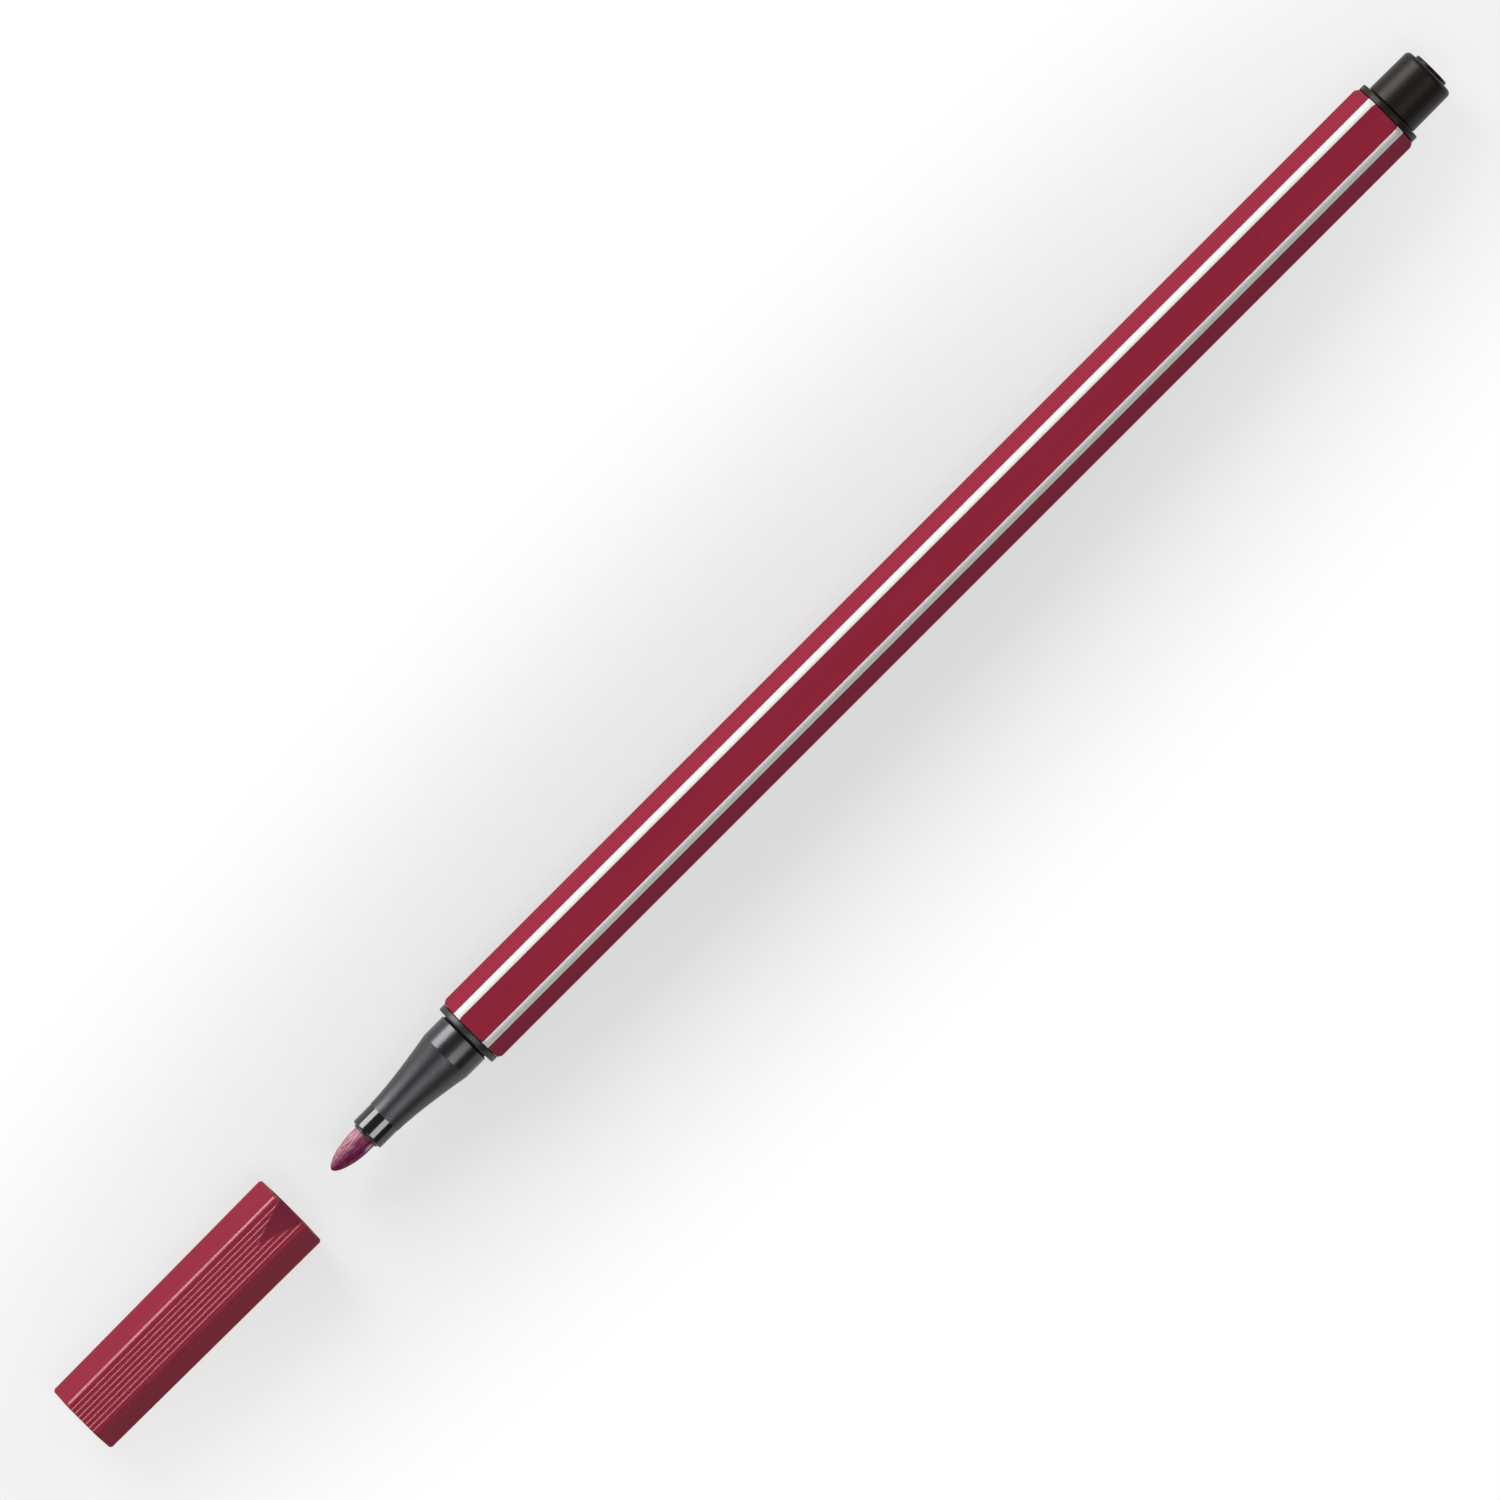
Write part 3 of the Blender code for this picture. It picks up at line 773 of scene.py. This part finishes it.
def combined(tree, operation, first, second):
    """Two numbers put together by an operation of the Math node."""
    made = node(tree, "ShaderNodeMath", operation=operation)
    tree.links.new(first, made.inputs[0])
    tree.links.new(second, made.inputs[1])
    return made.outputs[0]


def bumped(tree, source, height, below=None):
    """Relief of this height in millimetres, laid over the relief below it."""
    made = node(tree, "ShaderNodeBump", Strength=1.0, Distance=height * MM)
    tree.links.new(source, made.inputs["Height"])
    if below:
        tree.links.new(below, made.inputs["Normal"])
    return made.outputs["Normal"]


def stored(tree, name):
    """A number that is stored on the points of a piece."""
    return node(tree, "ShaderNodeAttribute", attribute_name=name).outputs["Fac"]


def new_material(name, **values):
    """A material whose shader has these constant values. Inputs are named with _ for a space."""
    material = bpy.data.materials.new(name)
    material.use_nodes = True
    for value_name, value in values.items():
        shader_of(material).inputs[value_name.replace("_", " ")].default_value = value
    return material


def shader_of(material):
    return material.node_tree.nodes["Principled BSDF"]


def source_of(material, name):
    """What feeds an input of a material's shader."""
    return shader_of(material).inputs[name].links[0].from_socket


def feed(material, name, source):
    material.node_tree.links.new(source, shader_of(material).inputs[name])


def paint_over(material, share, color):
    """Lay a colour, which may come from a node, over a material as far as share says."""
    tree = material.node_tree
    mix = node(tree, "ShaderNodeMix", data_type="RGBA")
    tree.links.new(share, mix.inputs["Factor"])
    tree.links.new(source_of(material, "Base Color"), mix.inputs["A"])
    if isinstance(color, tuple):
        mix.inputs["B"].default_value = (*color, 1)
    else:
        tree.links.new(color, mix.inputs["B"])
    feed(material, "Base Color", mix.outputs["Result"])


def tint(material, color):
    """Colour a material's reflections."""
    shader_of(material).inputs["Specular Tint"].default_value = (*color, 1)


def flow_marks(tree):
    """Slow marks along the pen, as plastic leaves them when it fills a mould."""
    return speckle(tree, FLOW_GRAIN, detail=3.0)


def moulded(name, dark, light, roughness, grain, relief, shine=0.5, unevenness=0.1):
    """Moulded plastic: fine grain, flow marks along the pen and a sheen that varies with the grain."""
    material = new_material(name, IOR=PLASTIC_IOR, Specular_IOR_Level=shine)
    tree = material.node_tree
    fine = speckle(tree, (grain, grain, grain))
    flow = flow_marks(tree)
    feed(material, "Base Color", ramp(tree, flow, NOISE_LOW, NOISE_HIGH, dark, light))
    least = roughness * (1 - unevenness)
    most = roughness * (1 + unevenness)
    feed(material, "Roughness", spread_between(tree, fine, WIDE_LOW, WIDE_HIGH, least, most))
    waves = bumped(tree, flow, relief * FLOW_RELIEF)
    feed(material, "Normal", bumped(tree, fine, relief, waves))
    return material


def streak(material, color):
    """Draw fine streaks along the pen, in colour and relief."""
    tree = material.node_tree
    drawn = speckle(tree, STREAK_GRAIN, detail=3.0)
    strength = spread_between(tree, drawn, STREAK_LOW, STREAK_HIGH, 0.0, STREAK_STRENGTH)
    paint_over(material, strength, color)
    feed(material, "Normal", bumped(tree, drawn, STREAK_RELIEF, source_of(material, "Normal")))


def polish_worn_places_and_highlight(material, color):
    """Make a material lighter and smoother where its piece is marked as worn, in patches: wear, and on the
    corner crests also a painted highlight.
    """
    tree = material.node_tree
    patches = spread_between(tree, speckle(tree, WORN_GRAIN), NOISE_LOW, NOISE_HIGH, WORN_LEAST, 1.0)
    worn = combined(tree, "MULTIPLY", stored(tree, "worn"), patches)
    paint_over(material, worn, color)
    smoother = node(tree, "ShaderNodeMath", operation="MULTIPLY_ADD")
    smoother.inputs[1].default_value = WORN_SMOOTHING
    tree.links.new(worn, smoother.inputs[0])
    tree.links.new(source_of(material, "Roughness"), smoother.inputs[2])
    feed(material, "Roughness", smoother.outputs[0])


def maroon_plastic(name, shine, worn_and_highlight_color, brightness=1.0):
    """Satin maroon plastic, finely streaked, with corners and rims polished by handling and painted
    lighter, which on the corner crests is also a painted highlight.
    """
    dark = tuple(part * brightness for part in MAROON_DARK)
    light = tuple(part * brightness for part in MAROON_LIGHT)
    material = moulded(name, dark, light, MAROON_ROUGHNESS, grain=5, relief=0.001, shine=shine)
    streak(material, tuple(part * STREAK_BRIGHTNESS for part in light))
    polish_worn_places_and_highlight(material, worn_and_highlight_color)
    return material


def cap_plastic(name, shine, brightness=1.0):
    """The cap's plastic, with painted shade on the plain arrowhead."""
    material = maroon_plastic(name, shine, CAP_WORN_AND_HIGHLIGHT, brightness)
    tree = material.node_tree
    flow = flow_marks(tree)
    arrowhead = ramp(tree, flow, NOISE_LOW, NOISE_HIGH, ARROWHEAD_SHADE_DARK, ARROWHEAD_SHADE_LIGHT)
    # Painted shade: the plain arrowhead is painted darker, most at the mouth
    paint_over(material, stored(tree, "plain"), arrowhead)
    return material


def strand_pattern(tree):
    """Fine strands along X."""
    return speckle(tree, STRAND_GRAIN, detail=4.0)


def inked(tree, strands, inks):
    """Strands coloured from dark to bright."""
    dark, middle, bright = inks
    made = node(tree, "ShaderNodeValToRGB")
    stops = made.color_ramp.elements
    stops[0].position = INK_DARK_AT
    stops[0].color = (*dark, 1)
    stops[1].position = INK_BRIGHT_AT
    stops[1].color = (*bright, 1)
    stops.new(INK_MIDDLE_AT).color = (*middle, 1)
    tree.links.new(strands, made.inputs["Fac"])
    return made.outputs["Color"]


def fibre_material(name, inks, relief, shine):
    """Bonded fibre: strands along X from dark to bright, the bright ones glossier."""
    material = new_material(name, IOR=FIBRE_IOR, Specular_IOR_Level=shine)
    tree = material.node_tree
    strands = strand_pattern(tree)
    feed(material, "Base Color", inked(tree, strands, inks))
    gloss = spread_between(tree, strands, NOISE_LOW, WIDE_HIGH, FIBRE_DULL, FIBRE_GLOSSY)
    feed(material, "Roughness", gloss)
    feed(material, "Normal", bumped(tree, strands, relief))
    return material


def nib_material():
    """Inked fibre with painted light: its +Y side, where the key lamp falls, is painted paler as its lit
    sheen. It has a pale spot by its rim that the ink has not reached.
    """
    material = fibre_material("nib_fibre", DEEP_INK, relief=0.015, shine=0.22)
    tree = material.node_tree
    position = node(tree, "ShaderNodeSeparateXYZ")
    tree.links.new(stretched_position(tree, (1.0, 1.0, 1.0)), position.inputs["Vector"])
    side = position.outputs["Y"]
    # Painted light: paler towards +Y, the side that the key lamp lights
    painted_lit_side = spread_between(tree, side, LIT_SIDE_FROM, LIT_SIDE_TO, 0.0, LIT_SIDE_STRENGTH)
    paint_over(material, painted_lit_side, inked(tree, strand_pattern(tree), LIT_SIDE_INK))
    x, y, z = PALE_SPOT
    spot = node(tree, "ShaderNodeVectorMath", operation="DISTANCE")
    spot.inputs[1].default_value = (x * PALE_SPOT_SHORTENING, y, z + AXIS_HEIGHT)
    tree.links.new(stretched_position(tree, (PALE_SPOT_SHORTENING, 1.0, 1.0)), spot.inputs[0])
    distance = spot.outputs["Value"]
    pale = spread_between(tree, distance, PALE_SPOT_CORE, PALE_SPOT_EDGE, PALE_SPOT_STRENGTH, 0.0)
    paint_over(material, pale, BARE_FIBRE)
    return material


def clear_film():
    """Thin film, faintly streaked along its length."""
    material = new_material("clear_film", IOR=FILM_IOR)
    tree = material.node_tree
    streaks = speckle(tree, FILM_GRAIN)
    feed(material, "Base Color", ramp(tree, streaks, NOISE_LOW, NOISE_HIGH, FILM_DARK, FILM_LIGHT))
    sheen = spread_between(tree, streaks, WIDE_LOW, WIDE_HIGH, FILM_SMOOTH, FILM_DULL)
    feed(material, "Roughness", sheen)
    return material


def black_plastic(name, roughness, grain, relief, shine, unevenness=0.1):
    return moulded(name, BLACK_DARK, BLACK_LIGHT, roughness, grain, relief, shine, unevenness)


def dress_barrel():
    maroon = maroon_plastic("barrel_maroon", shine=0.04, worn_and_highlight_color=BARREL_WORN_AND_HIGHLIGHT)
    white = moulded(
        "stripe_white", WHITE_DARK, WHITE_LIGHT, roughness=0.34, grain=6, relief=0.0008, shine=0.06
    )
    make_barrel(maroon, white)


def dress_black_ends():
    satin = black_plastic("satin_black", roughness=0.4, grain=5, relief=0.0015, shine=0.5)
    textured = black_plastic(
        "textured_black", roughness=0.4, grain=6, relief=0.0045, shine=0.75, unevenness=0.15
    )
    polished = black_plastic("polished_black", roughness=0.13, grain=3, relief=0.0003, shine=0.65)
    seat = black_plastic(
        "seat_black", roughness=0.28, grain=4, relief=0.0001, shine=0.65, unevenness=0.03
    )
    # Painted shade: the undercuts and gaps are painted darker than the other black
    recess = moulded(
        "recess_shade_black", RECESS_SHADE_DARK, RECESS_SHADE_LIGHT, roughness=0.7, grain=5, relief=0.002, shine=0.1
    )
    plug = moulded(
        "plug_black", PLUG_DARK, PLUG_LIGHT, roughness=0.38, grain=5, relief=0.0015, shine=0.2
    )
    tint(textured, COOL_REFLECTION)
    tint(seat, COOL_REFLECTION)
    tint(plug, WARM_REFLECTION)
    make_nose_section(satin, textured, polished, seat, recess)
    make_plug(plug, recess)


def dress_inside():
    """Give the CAD nodes that stay inside the pen and the cap their materials."""
    core = fibre_material("inked_core", CORE_INK, relief=0.04, shine=0.2)
    liner = moulded("liner_natural", LINER_DARK, LINER_LIGHT, roughness=0.4, grain=4, relief=0.001)
    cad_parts["ink_reservoir"].material_slots[0].material = core
    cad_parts["reservoir_wrap"].material_slots[0].material = clear_film()
    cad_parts["cap_liner"].material_slots[0].material = liner


def dress_cap():
    faces = cap_plastic("cap_maroon", shine=0.05, brightness=0.95)
    # The crests' material is also painted a little lighter than the faces', as part of their painted
    # highlight
    crests = cap_plastic("cap_edge_maroon", shine=0.55)
    # Painted light: the grooves' walls are painted 1.3 times brighter, as the light that their lit walls
    # catch
    grooves = cap_plastic("cap_groove_painted_light_maroon", shine=0.4, brightness=1.3)
    make_cap(faces, crests, grooves)


def make_floor():
    """A wide white table top."""
    bm = bmesh.new()
    bmesh.ops.create_circle(bm, cap_ends=True, segments=TABLE_SEGMENTS, radius=TABLE_RADIUS)
    mesh = bpy.data.meshes.new("table")
    bm.to_mesh(mesh)
    bm.free()
    floor = bpy.data.objects.new("table", mesh)
    floor.location.z = -TABLE_DROP
    bpy.context.scene.collection.objects.link(floor)
    mesh.materials.append(floor_material())


def seen_directly(tree):
    """1 for rays that show a background: camera, glossy and transmission rays."""
    rays = node(tree, "ShaderNodeLightPath").outputs
    either = combined(tree, "MAXIMUM", rays["Is Camera Ray"], rays["Is Glossy Ray"])
    return combined(tree, "MAXIMUM", either, rays["Is Transmission Ray"])


def floor_material():
    """Pale table top with a fine tooth, lifted to white where it shows. It keeps the pen's shadow."""
    material = new_material("white_table", Roughness=0.9, Specular_IOR_Level=0.0)
    tree = material.node_tree
    tooth = speckle(tree, TABLE_GRAIN)
    feed(material, "Base Color", ramp(tree, tooth, WIDE_LOW, WIDE_HIGH, TABLE_DARK, TABLE_LIGHT))
    away = node(tree, "ShaderNodeVectorMath", operation="LENGTH")
    tree.links.new(stretched_position(tree, TABLE_STRETCH), away.inputs[0])
    distance = away.outputs["Value"]
    whiter = spread_between(tree, distance, SHADOW_REACH, WHITE_FROM, NEAR_LIFT, 1.0, "SMOOTHSTEP")
    lift = combined(tree, "MULTIPLY", whiter, seen_directly(tree))
    glow = node(tree, "ShaderNodeEmission", Color=(1, 1, 1, 1), Strength=1.0)
    mix = node(tree, "ShaderNodeMixShader")
    tree.links.new(lift, mix.inputs["Fac"])
    tree.links.new(shader_of(material).outputs["BSDF"], mix.inputs[1])
    tree.links.new(glow.outputs["Emission"], mix.inputs[2])
    tree.links.new(mix.outputs["Shader"], tree.nodes["Material Output"].inputs["Surface"])
    return material


def make_world():
    """Dim all round, but for a white band at the horizon that shows as the background of a low view."""
    world = bpy.data.worlds.new("studio")
    bpy.context.scene.world = world
    world.use_nodes = True
    tree = world.node_tree
    background = tree.nodes["Background"]
    background.inputs["Color"].default_value = (1, 1, 1, 1)
    direction = node(tree, "ShaderNodeTexCoord")
    height = node(tree, "ShaderNodeSeparateXYZ")
    tree.links.new(direction.outputs["Generated"], height.inputs["Vector"])
    band = spread_between(tree, height.outputs["Z"], HORIZON_HEIGHT / 2, HORIZON_HEIGHT, 1.0, 0.0)
    shown = combined(tree, "MULTIPLY", band, seen_directly(tree))
    strength = spread_between(tree, shown, 0, 1, WORLD_FILL, 1.0)
    tree.links.new(strength, background.inputs["Strength"])


def make_lamp(name, lean, along, width, length, radiance):
    """A soft box in metres that faces the pen. It leans from the vertical to +Y, and along is its X."""
    lamp = bpy.data.lights.new(name, "AREA")
    lamp.shape = "RECTANGLE"
    lamp.size = length
    lamp.size_y = width
    lamp.energy = radiance * pi * width * length
    holder = bpy.data.objects.new(name, lamp)
    bpy.context.scene.collection.objects.link(holder)
    holder.visible_camera = False
    place = Vector((along, LAMP_DISTANCE * sin(lean), LAMP_DISTANCE * cos(lean)))
    back = place.normalized()
    up = back.cross(Vector((1, 0, 0))).normalized()
    across = up.cross(back)
    turn = Matrix((across, up, back)).transposed().to_4x4()
    holder.matrix_world = Matrix.Translation(place) @ turn


def make_lamps():
    make_lamp("key", radians(64), along=0.05, width=0.62, length=0.5, radiance=10.4)
    make_lamp("side", radians(-28), along=-0.061, width=0.6, length=0.13, radiance=8.2)
    make_lamp("front", radians(-10), along=-0.36, width=0.6, length=0.22, radiance=5.4)


def make_camera():
    """Looks straight down but for a slight lean, turned so that the pen rises to the upper right."""
    target = Vector((VIEW_TARGET[0] * MM, VIEW_TARGET[1] * MM, AXIS_HEIGHT * MM))
    back = Vector((0, tan(VIEW_LEAN), 1)).normalized()
    upwards = Vector((1, 1, 0))
    right = upwards.cross(back).normalized()
    up = back.cross(right)
    data = bpy.data.cameras.new("camera")
    data.lens = data.sensor_width * VIEW_DISTANCE / VIEW_FRAME
    camera = bpy.data.objects.new("camera", data)
    bpy.context.scene.collection.objects.link(camera)
    turn = Matrix((right, up, back)).transposed().to_4x4()
    camera.matrix_world = Matrix.Translation(target + back * VIEW_DISTANCE * MM) @ turn
    bpy.context.scene.camera = camera


make_camera()
dress_barrel()
dress_black_ends()
make_nib(nib_material())
dress_inside()
dress_cap()
make_floor()
make_world()
make_lamps()
bpy.context.scene.view_settings.view_transform = "Standard"
